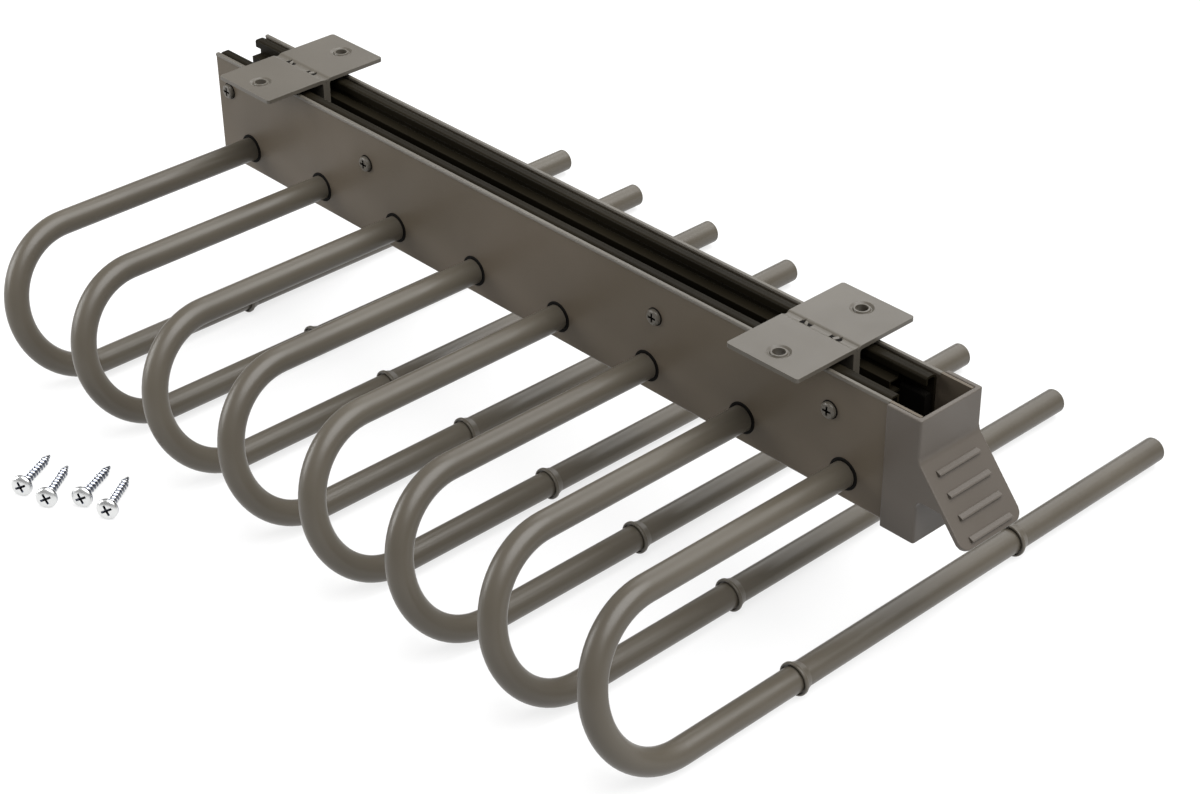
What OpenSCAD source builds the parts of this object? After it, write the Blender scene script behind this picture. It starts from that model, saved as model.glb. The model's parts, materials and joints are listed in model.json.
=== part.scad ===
// Pull out trouser rack that hangs under a wardrobe shelf.
// The origin is the middle of the four shelf screws, on top of the bracket flanges.
// +Z is up, the grip is at the front (-Y) and the open ends of the arms point to +X.

/* [Brackets] */
// Sheet thickness of the bracket plates
bracket_t = 2; // [1.5:0.1:2.5]
// Length of each bracket along the channel
bracket_len = 40; // [34:1:60]
// Reach of each flange from the middle plane
bracket_reach = 35.4; // [33:0.2:45]
// Height of the bracket webs, flange included
bracket_h = 30; // [30:0.5:36]
// Outer bend radius of the bracket plates
bracket_bend = 3; // [2.6:0.1:4]
// Corner radius of the flanges
bracket_corner = 1.5; // [0.5:0.1:4]
// Distance between the left and the right shelf screws
screw_gap_x = 50; // [48:1:56]
// Distance from each end of the outer rails to the nearest shelf screws
bracket_inset = 50; // [40:1:60]
// Bore of the shelf screw holes
screw_bore = 5.6; // [4:0.1:6.5]
// Outer width of the pressed groove round each shelf screw hole
groove_d = 10.7; // [9:0.1:13]
// Depth of that groove
groove_deep = 0.7; // [0.4:0.1:1]
// Width of the flat collar between the hole and the groove
collar_w = 0.8; // [0.4:0.1:1.2]
// Distance between the two crimps in a bracket's seam
crimp_gap = 20; // [14:1:28]
// Size of each crimp
crimp_size = 2.2; // [1.5:0.1:2.6]
// Distance between a bracket's two rivets
rivet_gap = 24; // [16:1:30]
// Shank of the rivets
rivet_d = 4; // [3:0.1:5]

/* [Channel] */
// Least gap from the shelf down to the channel's top edges
channel_drop = 4; // [3:0.5:8]
// Height of the channel
channel_h = 58; // [56:1:70]
// Sheet thickness of the channel
channel_t = 1.5; // [1:0.1:2]
// Outer bend radius along the channel's floor
channel_bend = 2; // [2:0.1:4]
// Length of the channel in front of the rails
channel_nose = 18; // [18:1:30]

/* [Slides] */
// Length of the outer rails
rail_len = 450; // [440:5:500]
// Height of the slides
rail_h = 35; // [34:0.5:38]
// Thickness of the slides
rail_t = 12.7; // [12.5:0.1:14]
// Gap from the bracket flanges down to the slides
rail_drop = 2.5; // [2.5:0.1:3.5]
// Sheet thickness of the outer rails
outer_t = 1.2; // [1:0.1:1.3]
// Width of the outer rails' flanges
outer_w = 6.6; // [6.4:0.1:7]
// Sheet thickness of the middle rails
middle_t = 1; // [0.8:0.1:1.1]
// Step in the middle rails' flanges
middle_step = 2.2; // [2:0.1:2.6]
// Radius of the outer rails' back corners
outer_round = 3; // [2:0.1:3.2]
// Distance from the outer rails' front ends to the middle rails'
middle_set = 15; // [12:1:20]
// Distance from the outer rails' rear ends to the middle rails'
middle_back = 3; // [1:1:30]
// Sheet thickness of the inner rails
inner_t = 1.2; // [1:0.1:1.3]
// Distance from the outer rails' front ends to the inner rails'
inner_set = 13; // [10:1:20]
// Distance from the outer rails' rear ends to the inner rails'
inner_back = 3; // [0:1:10]
// Diameter of the balls
ball_d = 3; // [2.6:0.1:3.2]
// Distance between neighbouring balls
ball_pitch = 11.6; // [8:0.1:14]
// Length of the ball cages
cage_len = 156; // [120:2:160]
// Sheet thickness of the cages' ball strips
cage_t = 0.8; // [0.6:0.1:1]
// Middle of the inner cages along the rack, shut
inner_cage_y = -23; // [-24:1:0]
// Middle of the outer cages along the rack, shut
outer_cage_y = -10; // [-40:1:20]
// Diameter of the rail screws
rail_screw_d = 4; // [3:0.1:5]
// Head diameter of the rail screws
rail_head_d = 7.5; // [6.5:0.1:9]
// Head height of the rail screws
rail_head_h = 2.2; // [1.5:0.1:3]
// Distances from the outer rails' rear ends to the two rear screws in each
rear_screws_in = [9, 120];
// Distances from the outer rails' front ends to the two front screws in each
front_screws_in = [29, 131];
// Height of the rubber buffers at the outer rails' front ends
buffer_h = 16; // [10:1:20]

/* [Arms] */
// Number of arms
arm_count = 8; // [4:1:8]
// Distance from the channel's rear end to the first arm
arm_rear_in = 24; // [16:1:40]
// Distance from the outer rails' front ends to the last arm
arm_front_in = 20; // [14:1:30]
// Outer diameter of the arm tube
arm_d = 12; // [11:0.5:13]
// Wall of the arm tube
arm_t = 1.2; // [0.8:0.1:1.6]
// Gap from the slides down to the arms' bushes
arm_drop = 1.2; // [0.6:0.1:3]
// Gap from the channel's floor up to the arms' bushes
arm_lift = 2.8; // [1:0.1:6]
// Distance from the middle plane to the bends' centre
arm_reach = 129; // [100:1:160]
// Centreline radius of the bends
arm_bend = 36; // [32:1:44]
// Lean of each arm towards the front
arm_lean = 16.2; // [0:0.2:20]
// Distance from the middle plane to the lower legs' tips
arm_tip = 180; // [150:1:220]
// Place of the first stop ring, left of the middle plane
ring_x = -41; // [-60:1:-30]
// Distance between the two stop rings of an arm
ring_gap = 139; // [100:1:160]
// How far the front arm's rings sit to the left of the others
front_ring_shift = 21; // [0:1:30]
// Outer diameter of the stop rings
ring_d = 15.4; // [14:0.1:18]
// Width of the stop rings
ring_w = 5; // [4:0.5:10]
// Width of the lip at the rings' left end
ring_lip = 1.8; // [1.2:0.1:2.4]
// Fastening bolt at each upper leg's end
bolt_d = 6; // [4:0.5:6]
// Head diameter of those bolts
bolt_head_d = 10.5; // [9:0.5:12]
// Head height of those bolts
bolt_head_h = 3.3; // [2:0.1:4]
// Length of the threaded inserts in the upper legs
insert_len = 20; // [14:1:24]
// Length of the tip plugs inside the tube
plug_len = 10; // [6:1:16]
// Wall of the bushes
bush_t = 1; // [0.8:0.1:2]
// Flange thickness of the bushes inside the channel
bush_flange = 1; // [0.6:0.1:2]
// Width of that flange round the bush
bush_rim = 1.5; // [1:0.1:2]
// Rounding of the plugs' outer edges
tip_round = 1; // [0.4:0.1:1.2]
// Thickness of the plugs' heads
tip_head = 1.5; // [1.3:0.1:3]

/* [End cap] */
// Wall of the end cap
cap_t = 2.2; // [1.4:0.1:2.6]
// Length of the cap's sides along the channel
cap_len = 18; // [14:1:24]
// Height of the cap's top edge above the channel's
cap_rise = 0.2; // [0:0.1:1]
// Depth of the cap's bottom edge below the channel's
cap_sink = 0.6; // [0:0.1:2]
// Radius of the cap's upright front corners
cap_corner = 1; // [0.5:0.1:1.6]
// Distance from the cap's top edge down to the flap's crease
crease_drop = 19.5; // [16:0.5:24]
// Slope of the grip flap from upright
flap_slope = 40; // [30:1:45]
// Length of the grip flap down its slope
flap_len = 40; // [34:0.5:44]
// Thickness of the grip flap
flap_t = 2.2; // [1.8:0.1:3]
// Corner radius of the grip flap
flap_corner = 5; // [2:0.5:8]
// Height that the cheeks beside the flap reach down from its crease
cheek_h = 18; // [12:0.5:22]
// Radius where the cheeks run into the cap's front
cheek_r = 3; // [1:0.5:4]
// Number of grip ribs
rib_count = 4; // [2:1:4]
// Length of the grip ribs
rib_len = 25; // [16:1:30]
// Height of the grip ribs
rib_h = 1.2; // [0.6:0.1:2]
// Width of the grip ribs
rib_w = 2.6; // [2:0.1:4]
// Distance between neighbouring grip ribs
rib_pitch = 9.7; // [7:0.1:9.8]
// Distance from the crease to the first grip rib
rib_start = 7.3; // [5:0.1:8]
// Diameter of the cap's screws
cap_screw_d = 3.5; // [3:0.1:4]
// Distance between the cap's two screws
cap_screw_gap = 16; // [12:1:18]

/* [Loose screws] */
// Shank diameter of the loose tapping screws
loose_d = 4.5; // [3:0.1:5]
// Shank length of the loose tapping screws
loose_len = 31; // [20:1:40]
// Head diameter of the loose tapping screws
loose_head_d = 11; // [8:0.1:12]
// Head height of the loose tapping screws
loose_head_h = 2.6; // [2:0.1:3.5]

/* [Hidden] */
// Place and turn of each loose screw on the floor, from its head
LOOSE_AT = [[-215, 118, 34], [-212, 102, 40], [-200, 91, 33], [-197, 75, 39]];
// Small clearances: pressed and seated, running, and between a cap and the sheet it covers
FIT = 0.05;
RACE_PLAY = 0.05;
CAGE_PLAY = 0.2;
LIP_PLAY = 0.4;
CAP_PLAY = 0.3;
// Thin webs of the outer and the inner cages
OUTER_CAGE_WEB = 0.3;
INNER_CAGE_WEB = 0.4;
// Overshoot of a cut past the face that it opens
OVER = 1;
// Widths and depths of cross recesses, as shares of the head
CROSS_W = 0.14;
CROSS_L = 0.62;
CROSS_DEEP = 0.6;

// Heights below the shelf: the channel hangs at its least gap, or lower where the slides
// and the arms need more depth
slide_drop = bracket_t + rail_drop + rail_h / 2;
arm_hole = arm_d + 2 * bush_t;
arm_space = arm_hole + 2 * bush_rim;
channel_bottom = min(-channel_drop - channel_h,
                     -slide_drop - rail_h / 2 - arm_drop - arm_space - arm_lift - channel_t);
channel_top = channel_bottom + channel_h;
channel_floor = channel_bottom + channel_t;
arm_z = channel_floor + arm_lift + arm_space / 2;

// The channel's walls
channel_in = rail_t + bracket_t;
channel_out = channel_in + channel_t;

// The slides' ends along the rack
rail_rear = rail_len / 2;
rail_front = -rail_len / 2;
channel_front = rail_front - channel_nose;
screw_gap_y = rail_len - 2 * bracket_inset;
rail_screw_y = concat([for (d = rear_screws_in) rail_rear - d],
                      [for (d = front_screws_in) rail_front + d]);
middle_front = rail_front + middle_set;
middle_rear = rail_rear - middle_back;
inner_front = rail_front + inner_set;
inner_rear = rail_rear - inner_back;
cage_balls = floor((cage_len - ball_pitch) / ball_pitch) + 1;

// The slides' section: u runs from the channel wall to the middle plane, v up from the middle line
outer_web = outer_t;
outer_lip_u = outer_w - outer_t;
outer_v = rail_h / 2 - outer_t;
outer_ball_v = outer_v - RACE_PLAY - ball_d / 2;
middle_v = outer_ball_v - ball_d / 2 - RACE_PLAY;
outer_lip_v = middle_v + LIP_PLAY;
outer_cage_u = outer_web + CAGE_PLAY;
middle_u = outer_cage_u + OUTER_CAGE_WEB + CAGE_PLAY;
outer_ball_u = (outer_cage_u + OUTER_CAGE_WEB + outer_lip_u) / 2;
middle_step_u = outer_w - outer_t / 2;
middle_end_u = rail_t - inner_t - CAGE_PLAY;
middle_low_v = middle_v - middle_step;
middle_round = 0.3 * middle_t;
inner_ball_v = middle_low_v - middle_t - RACE_PLAY - ball_d / 2;
inner_v = inner_ball_v - ball_d / 2 - RACE_PLAY;
middle_lip_v = inner_v + LIP_PLAY;
inner_cage_u = middle_step_u + CAGE_PLAY;
inner_u = inner_cage_u + INNER_CAGE_WEB + CAGE_PLAY;
inner_ball_u = (inner_cage_u + INNER_CAGE_WEB + middle_end_u - middle_t) / 2;
buffer_u = outer_lip_u - LIP_PLAY;

// The arms
arm_bore = arm_d - 2 * arm_t;
arm_first = rail_rear - arm_rear_in;
arm_last = rail_front + arm_front_in;
arm_pitch = (arm_first - arm_last) / (arm_count - 1);
arm_legs = 2 * arm_bend;
arm_low_z = arm_z - arm_legs * cos(arm_lean);
floor_z = arm_low_z - ring_d / 2;
ring_rim = 0.2;
ring_round = 0.5;
ring_recess = ring_lip / 2;
loose_tip_r = 0.3;
loose_point_len = 1.6 * loose_d;

// The end cap
cap_half = channel_out + CAP_PLAY + cap_t;
cap_inner = channel_out + CAP_PLAY;
cap_back = channel_front - CAP_PLAY;
cap_front = cap_back - cap_t;
cap_top = channel_top + cap_rise;
cap_bottom = channel_bottom - cap_sink;
crease_z = cap_top - crease_drop;
tongue_w = 2 * (channel_in - channel_bend);
tongue_t = 3;
boss_d = 2.2 * cap_screw_d;
boss_h = 9;
cap_screw_y = cap_front + cap_len / 2 + cap_t;
cap_screw_head_d = 1.9 * cap_screw_d;
cap_screw_head_h = 2;

$fn = 48;

PAINT = [0.40, 0.38, 0.34];
CAP_PAINT = [0.43, 0.41, 0.37];
BLACK_STEEL = [0.07, 0.07, 0.06];
BLACK_PLASTIC = [0.05, 0.05, 0.05];
ZINC = [0.62, 0.63, 0.62];

function arm_y(i) = arm_first - (i - 1) * arm_pitch;
function ball_y(k) = (k - (cage_balls - 1) / 2) * ball_pitch;

// Flat helpers

module box2(x0, x1, y0, y1) {
    translate([x0, y0]) square([x1 - x0, y1 - y0]);
}

module round_box2(x0, x1, y0, y1, r) {
    box2(x0 + r, x1 - r, y0, y1);
    box2(x0, x1, y0 + r, y1 - r);
    for (x = [x0 + r, x1 - r], y = [y0 + r, y1 - r]) translate([x, y]) circle(r);
}

module both_v() {
    children();
    mirror([0, 1]) children();
}

// Solid helpers

// Extrudes an x-z outline along the rack
module along_y(front, rear) {
    translate([0, rear, 0]) rotate([90, 0, 0]) linear_extrude(rear - front) children();
}

// Extrudes a y-z outline across the rack
module along_x(left, right) {
    translate([left, 0, 0]) rotate([90, 0, 90]) linear_extrude(right - left) children();
}

// Puts a u-v outline of the left slide in its place
module slide(front, rear) {
    translate([-channel_in, 0, -slide_drop]) along_y(front, rear) children();
}

module right_side() {
    mirror([1, 0, 0]) children();
}

// A bar that runs along +X from the point
module x_bar(x0, x1, d) {
    translate([x0, 0, 0]) rotate([0, 90, 0]) cylinder(d = d, h = x1 - x0);
}

// Pan head on the plane z = 0, with a cross recess
module pan_head(d, h) {
    edge = 0.55 * h;
    difference() {
        rotate_extrude() {
            box2(0, d / 2 - edge, 0, h);
            box2(0, d / 2, 0, h - edge);
            intersection() {
                translate([d / 2 - edge, h - edge]) circle(edge);
                box2(0, d / 2, 0, h);
            }
        }
        for (turn = [0, 90]) rotate([0, 0, turn])
            translate([-CROSS_L * d / 2, -CROSS_W * d / 2, h * (1 - CROSS_DEEP)])
                cube([CROSS_L * d, CROSS_W * d, h]);
    }
}

// Brackets

module bracket_outline() {
    box2(0, bracket_t, -bracket_h, -bracket_bend);
    box2(bracket_bend, bracket_reach, -bracket_t, 0);
    intersection() {
        translate([bracket_bend, -bracket_bend]) difference() {
            circle(bracket_bend);
            circle(bracket_bend - bracket_t);
        }
        box2(0, bracket_bend, -bracket_bend, 0);
    }
}

// The groove is steep next to the collar and rises gently outwards
module groove_outline() {
    collar_r = screw_bore / 2 + collar_w;
    polygon([[collar_r, 0], [collar_r + groove_deep / 2, -groove_deep],
             [collar_r + groove_deep, -groove_deep], [groove_d / 2, 0],
             [groove_d / 2, OVER], [collar_r, OVER]]);
}

module bracket_plate(y) {
    translate([0, y, 0]) difference() {
        intersection() {
            along_y(-bracket_len / 2, bracket_len / 2) bracket_outline();
            translate([0, 0, -bracket_h]) linear_extrude(bracket_h)
                round_box2(-bracket_reach, bracket_reach,
                           -bracket_len / 2, bracket_len / 2, bracket_corner);
        }
        translate([screw_gap_x / 2, 0, -bracket_t - OVER])
            cylinder(d = screw_bore, h = bracket_t + 2 * OVER);
        translate([screw_gap_x / 2, 0, 0]) rotate_extrude() groove_outline();
        for (k = [-1, 1]) translate([0, k * crimp_gap / 2, -bracket_bend])
            cylinder(r = crimp_size, h = bracket_bend + OVER, $fn = 3);
        for (k = [-1, 1]) translate([0, k * rivet_gap / 2, -slide_drop])
            x_bar(-OVER, bracket_t + OVER, rivet_d + 2 * FIT);
    }
}

module front_bracket_left() {
    color(PAINT) right_side() bracket_plate(-screw_gap_y / 2);
}

module front_bracket_right() {
    color(PAINT) bracket_plate(-screw_gap_y / 2);
}

module rear_bracket_left() {
    color(PAINT) right_side() bracket_plate(screw_gap_y / 2);
}

module rear_bracket_right() {
    color(PAINT) bracket_plate(screw_gap_y / 2);
}

// Each rivet joins both webs and both inner rails
module bracket_rivets() {
    grip = bracket_t + inner_t;
    color(ZINC) for (y = [-screw_gap_y / 2, screw_gap_y / 2], k = [-1, 1])
        translate([0, y + k * rivet_gap / 2, -slide_drop]) {
            x_bar(-grip, grip, rivet_d);
            x_bar(grip, grip + rivet_d / 4, 1.8 * rivet_d);
            x_bar(-grip - rivet_d / 4, -grip, 1.8 * rivet_d);
        }
}

// Slides

module left_inner_rail() {
    color(BLACK_STEEL) difference() {
        slide(inner_front, inner_rear) difference() {
            round_box2(inner_u, rail_t, -inner_v, inner_v, inner_t / 2);
            box2(inner_u - OVER, rail_t - inner_t, inner_t - inner_v, inner_v - inner_t);
        }
        for (y = [-screw_gap_y / 2, screw_gap_y / 2], k = [-1, 1])
            translate([0, y + k * rivet_gap / 2, -slide_drop])
                x_bar(-bracket_t - inner_t - OVER, -bracket_t + OVER, rivet_d + 2 * FIT);
    }
}

module right_inner_rail() {
    right_side() left_inner_rail();
}

module left_middle_rail() {
    color(BLACK_STEEL) slide(middle_front, middle_rear) both_v() {
        box2(middle_u, middle_u + middle_t, 0, middle_v - middle_t / 2);
        round_box2(middle_u, middle_step_u, middle_v - middle_t, middle_v, middle_round);
        box2(middle_step_u - middle_t, middle_step_u,
             middle_low_v - middle_t / 2, middle_v - middle_t / 2);
        round_box2(middle_step_u - middle_t, middle_end_u,
                   middle_low_v - middle_t, middle_low_v, middle_round);
        box2(middle_end_u - middle_t, middle_end_u, middle_lip_v, middle_low_v - middle_t / 2);
    }
}

module right_middle_rail() {
    right_side() left_middle_rail();
}

module left_outer_rail() {
    color(BLACK_STEEL) difference() {
        slide(rail_front, rail_rear) difference() {
            union() {
                round_box2(0, outer_w, -rail_h / 2, rail_h / 2, outer_round);
                round_box2(outer_w / 2, outer_w, -rail_h / 2, rail_h / 2, outer_t);
            }
            round_box2(outer_t, outer_lip_u, -outer_v, outer_v, outer_round - outer_t);
            round_box2(outer_w / 2, outer_lip_u, -outer_v, outer_v, outer_t / 2);
            box2(outer_lip_u - outer_t, outer_w + OVER, -outer_lip_v, outer_lip_v);
        }
        for (y = rail_screw_y) translate([-channel_in, y, -slide_drop])
            x_bar(-OVER, outer_t + OVER, rail_screw_d + 2 * FIT);
    }
}

module right_outer_rail() {
    right_side() left_outer_rail();
}

// One strip of each cage holds a row of balls above the middle line, the other one below it
module cage(y, u, web, end_u, row_u, row_v) {
    translate([0, y, 0]) difference() {
        slide(-cage_len / 2, cage_len / 2) {
            box2(u, u + web, -row_v, row_v);
            for (v = [-row_v, row_v]) box2(u, end_u, v - cage_t / 2, v + cage_t / 2);
        }
        for (k = [0 : cage_balls - 1], v = [-row_v, row_v])
            translate([row_u - channel_in, ball_y(k), v - slide_drop - cage_t])
                cylinder(d = ball_d + 2 * RACE_PLAY, h = 2 * cage_t);
    }
}

module balls(y, row_u, row_v) {
    for (k = [0 : cage_balls - 1], v = [-row_v, row_v])
        translate([row_u - channel_in, y + ball_y(k), v - slide_drop]) sphere(d = ball_d);
}

module left_outer_cage() {
    color(ZINC) cage(outer_cage_y, outer_cage_u, OUTER_CAGE_WEB, outer_lip_u - CAGE_PLAY,
                     outer_ball_u, outer_ball_v);
}

module left_outer_balls() {
    color(ZINC) balls(outer_cage_y, outer_ball_u, outer_ball_v);
}

module left_inner_cage() {
    color(ZINC) cage(inner_cage_y, inner_cage_u, INNER_CAGE_WEB,
                     middle_end_u - middle_t - CAGE_PLAY, inner_ball_u, inner_ball_v);
}

module left_inner_balls() {
    color(ZINC) balls(inner_cage_y, inner_ball_u, inner_ball_v);
}

module right_outer_cage() {
    right_side() left_outer_cage();
}

module right_outer_balls() {
    right_side() left_outer_balls();
}

module right_inner_cage() {
    right_side() left_inner_cage();
}

module right_inner_balls() {
    right_side() left_inner_balls();
}

module left_rail_screws() {
    color(PAINT) for (y = rail_screw_y) translate([-channel_out, y, -slide_drop]) {
        rotate([0, -90, 0]) pan_head(rail_head_d, rail_head_h);
        x_bar(0, channel_t + outer_t, rail_screw_d);
    }
}

module right_rail_screws() {
    right_side() left_rail_screws();
}

// A buffer fills the outer rail's front end, just in front of the middle rail
module rail_buffers() {
    color(BLACK_PLASTIC) for (side = [0, 1]) mirror([side, 0, 0])
        slide(rail_front + outer_t, middle_front - CAP_PLAY)
            round_box2(outer_t, buffer_u, -buffer_h / 2, buffer_h / 2, outer_t);
}

// Channel

module channel() {
    color(PAINT) difference() {
        along_y(channel_front, rail_rear) difference() {
            round_box2(-channel_out, channel_out,
                       channel_bottom, channel_top + 2 * channel_bend, channel_bend);
            round_box2(-channel_in, channel_in, channel_floor,
                       channel_top + 2 * channel_bend + OVER, channel_bend - channel_t / 2);
            box2(-channel_out - OVER, channel_out + OVER,
                 channel_top, channel_top + 2 * channel_bend + OVER);
        }
        for (i = [1 : arm_count]) translate([0, arm_y(i), arm_z]) {
            x_bar(-channel_out - OVER, -channel_in + OVER, arm_hole);
            x_bar(channel_in - OVER, channel_out + OVER, bolt_d + 2 * FIT);
        }
        for (y = rail_screw_y) translate([0, y, -slide_drop]) {
            x_bar(-channel_out - OVER, -channel_in + OVER, rail_screw_d + 2 * FIT);
            x_bar(channel_in - OVER, channel_out + OVER, rail_screw_d + 2 * FIT);
        }
        for (k = [-1, 1])
            translate([k * cap_screw_gap / 2, cap_screw_y, channel_bottom - OVER])
                cylinder(d = cap_screw_d + 2 * FIT, h = channel_t + 2 * OVER);
    }
}

// Arms

// The bent bar of diameter d, whose legs end at the given places
module arm_bar(d, upper_end, lower_end) {
    x_bar(-arm_reach, upper_end, d);
    translate([-arm_reach, 0, -arm_bend]) rotate([90, 0, 0])
        rotate_extrude(angle = 180, start = 90) translate([arm_bend, 0]) circle(d = d);
    translate([0, 0, -arm_legs]) x_bar(-arm_reach, lower_end, d);
}

module arm(i) {
    if (i <= arm_count)
        color(PAINT) translate([0, arm_y(i), arm_z]) rotate([-arm_lean, 0, 0])
            difference() {
                arm_bar(arm_d, channel_in, arm_tip - tip_head);
                arm_bar(arm_bore, channel_in + OVER, arm_tip - tip_head + OVER);
            }
}

// Draws its children on each arm's upper leg
module each_upper_leg() {
    for (i = [1 : arm_count]) translate([0, arm_y(i), arm_z]) children();
}

// Draws its children on each arm's lower leg
module each_lower_leg() {
    for (i = [1 : arm_count]) translate([0, arm_y(i), arm_z])
        rotate([-arm_lean, 0, 0]) translate([0, 0, -arm_legs]) children();
}

module arm_bushes() {
    color(BLACK_PLASTIC) each_upper_leg() difference() {
        union() {
            x_bar(-channel_out - CAP_PLAY, -channel_in, arm_hole - 2 * FIT);
            x_bar(-channel_in, -channel_in + bush_flange, arm_space);
        }
        x_bar(-channel_out - OVER, -channel_in + bush_flange + OVER, arm_d + 2 * FIT);
    }
}

module arm_inserts() {
    color(ZINC) each_upper_leg() difference() {
        x_bar(channel_in - insert_len, channel_in, arm_bore - 2 * FIT);
        x_bar(channel_in - insert_len - OVER, channel_in + OVER, bolt_d + 2 * FIT);
    }
}

module arm_bolts() {
    socket_d = 0.45 * bolt_head_d;
    color(ZINC) each_upper_leg() {
        x_bar(channel_out - 0.7 * insert_len, channel_out, bolt_d);
        translate([channel_out, 0, 0]) rotate([0, 90, 0]) difference() {
            cylinder(d = bolt_head_d, h = bolt_head_h);
            translate([0, 0, bolt_head_h / 2])
                cylinder(d = socket_d, h = bolt_head_h, $fn = 6);
        }
    }
}

// A plug closes each lower leg with a head as wide as the tube
module tip_plugs() {
    color(PAINT) each_lower_leg() {
        x_bar(arm_tip - tip_head - plug_len, arm_tip - tip_head, arm_bore - 2 * FIT);
        translate([arm_tip - tip_head, 0, 0]) rotate([0, 90, 0]) rotate_extrude() {
            box2(0, arm_d / 2 - tip_round, 0, tip_head);
            box2(0, arm_d / 2, 0, tip_head - tip_round);
            intersection() {
                translate([arm_d / 2 - tip_round, tip_head - tip_round]) circle(tip_round);
                box2(0, arm_d / 2, 0, tip_head);
            }
        }
    }
}

// The ring has a lip with a flat left face, a recess round the tube there, and tapers to the right
module stop_ring() {
    bore_r = arm_d / 2 + FIT;
    left = -ring_w / 2;
    recess_d = (ring_d + arm_d) / 2;
    rotate([0, 90, 0]) rotate_extrude() difference() {
        union() {
            box2(bore_r, ring_d / 2 - ring_round, left, left + ring_lip);
            round_box2(arm_d / 2 + ring_rim, ring_d / 2, left, left + ring_lip, ring_round);
            polygon([[bore_r, left + ring_lip], [ring_d / 2 - ring_round, left + ring_lip],
                     [arm_d / 2 + ring_rim, -left], [bore_r, -left]]);
        }
        box2(0, recess_d / 2, left - OVER, left + ring_recess);
    }
}

module stop_rings() {
    color(PAINT) for (i = [1 : arm_count], k = [0, 1])
        translate([0, arm_y(i), arm_z]) rotate([-arm_lean, 0, 0])
            translate([ring_x + k * ring_gap - (i == arm_count ? front_ring_shift : 0),
                       0, -arm_legs])
                stop_ring();
}

// End cap

// Draws its children in the flap's own frame: x across, y up the slope from the crease,
// z out of the outer face
module on_flap() {
    translate([0, cap_front, crease_z]) rotate([90 - flap_slope, 0, 0]) children();
}

module cheek_outline() {
    foot_y = cap_front - cheek_h * tan(flap_slope);
    polygon([[cap_front + cap_t / 2, crease_z], [cap_front, crease_z],
             [foot_y, crease_z - cheek_h], [cap_front + cap_t / 2, crease_z - cheek_h]]);
    difference() {
        box2(cap_front - cheek_r, cap_front + cap_t / 2,
             crease_z - cheek_h - cheek_r, crease_z - cheek_h);
        translate([cap_front - cheek_r, crease_z - cheek_h - cheek_r]) circle(cheek_r);
    }
}

module end_cap() {
    color(CAP_PAINT) difference() {
        union() {
            translate([0, 0, cap_bottom]) linear_extrude(cap_top - cap_bottom) difference() {
                union() {
                    round_box2(-cap_half, cap_half, cap_front, cap_front + cap_len, cap_corner);
                    box2(-cap_half, cap_half, cap_front + cap_len / 2, cap_front + cap_len);
                }
                box2(-cap_inner, cap_inner, cap_back, cap_front + cap_len + OVER);
            }
            on_flap() translate([0, 0, -flap_t]) linear_extrude(flap_t) {
                box2(-cap_half, cap_half, -flap_len + flap_corner, 0);
                round_box2(-cap_half, cap_half, -flap_len, -flap_len / 2, flap_corner);
            }
            on_flap() for (k = [0 : rib_count - 1])
                translate([0, rib_w / 2 - rib_start - k * rib_pitch, 0])
                    rotate([90, 0, 0]) linear_extrude(rib_w)
                        polygon([[-rib_len / 2, -rib_h], [rib_len / 2, -rib_h],
                                 [rib_len / 2, 0], [rib_len / 2 - rib_h, rib_h],
                                 [rib_h - rib_len / 2, rib_h], [-rib_len / 2, 0]]);
            for (side = [0, 1]) mirror([side, 0, 0])
                along_x(cap_inner, cap_half) cheek_outline();
            translate([-tongue_w / 2, cap_front + cap_t / 2, channel_floor])
                cube([tongue_w, cap_len - cap_t / 2, tongue_t]);
            for (k = [-1, 1])
                translate([k * cap_screw_gap / 2, cap_screw_y, channel_floor])
                    cylinder(d = boss_d, h = boss_h);
        }
        for (k = [-1, 1])
            translate([k * cap_screw_gap / 2, cap_screw_y, channel_floor - OVER])
                cylinder(d = cap_screw_d + 2 * FIT, h = boss_h);
    }
}

module end_cap_screws() {
    color(ZINC) for (k = [-1, 1])
        translate([k * cap_screw_gap / 2, cap_screw_y, channel_bottom]) {
            rotate([180, 0, 0]) pan_head(cap_screw_head_d, cap_screw_head_h);
            cylinder(d = cap_screw_d, h = boss_h - OVER);
        }
}

// Loose screws

// A tapping screw along +X from under its head, with a turned point
module tapping_screw() {
    rotate([0, -90, 0]) pan_head(loose_head_d, loose_head_h);
    rotate([0, 90, 0]) rotate_extrude() {
        box2(0, loose_d / 2, 0, loose_len - loose_point_len);
        translate([0, loose_len - loose_point_len])
            polygon([[0, 0], [loose_d / 2, 0],
                     [loose_tip_r, loose_point_len], [0, loose_point_len]]);
    }
}

// Each screw lies on the rim of its head and on its shank's end, where the point begins
module mounting_screws() {
    tilt = atan((loose_head_d - loose_d) / 2 / (loose_len - loose_point_len));
    color(ZINC) for (at = LOOSE_AT) translate([at[0], at[1], floor_z])
        rotate([0, 0, at[2]]) translate([0, 0, cos(tilt) * loose_head_d / 2])
            rotate([0, tilt, 0]) tapping_screw();
}

front_bracket_left();
front_bracket_right();
rear_bracket_left();
rear_bracket_right();
bracket_rivets();
left_inner_rail();
right_inner_rail();
mounting_screws();
channel();
left_outer_rail();
right_outer_rail();
left_rail_screws();
right_rail_screws();
rail_buffers();
end_cap();
end_cap_screws();
arm(1);  // arm_1
arm(2);  // arm_2
arm(3);  // arm_3
arm(4);  // arm_4
arm(5);  // arm_5
arm(6);  // arm_6
arm(7);  // arm_7
arm(8);  // arm_8
arm_bushes();
arm_inserts();
arm_bolts();
tip_plugs();
stop_rings();
left_middle_rail();
right_middle_rail();
left_outer_cage();
left_outer_balls();
left_inner_cage();
left_inner_balls();
right_outer_cage();
right_outer_balls();
right_inner_cage();
right_inner_balls();
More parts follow.
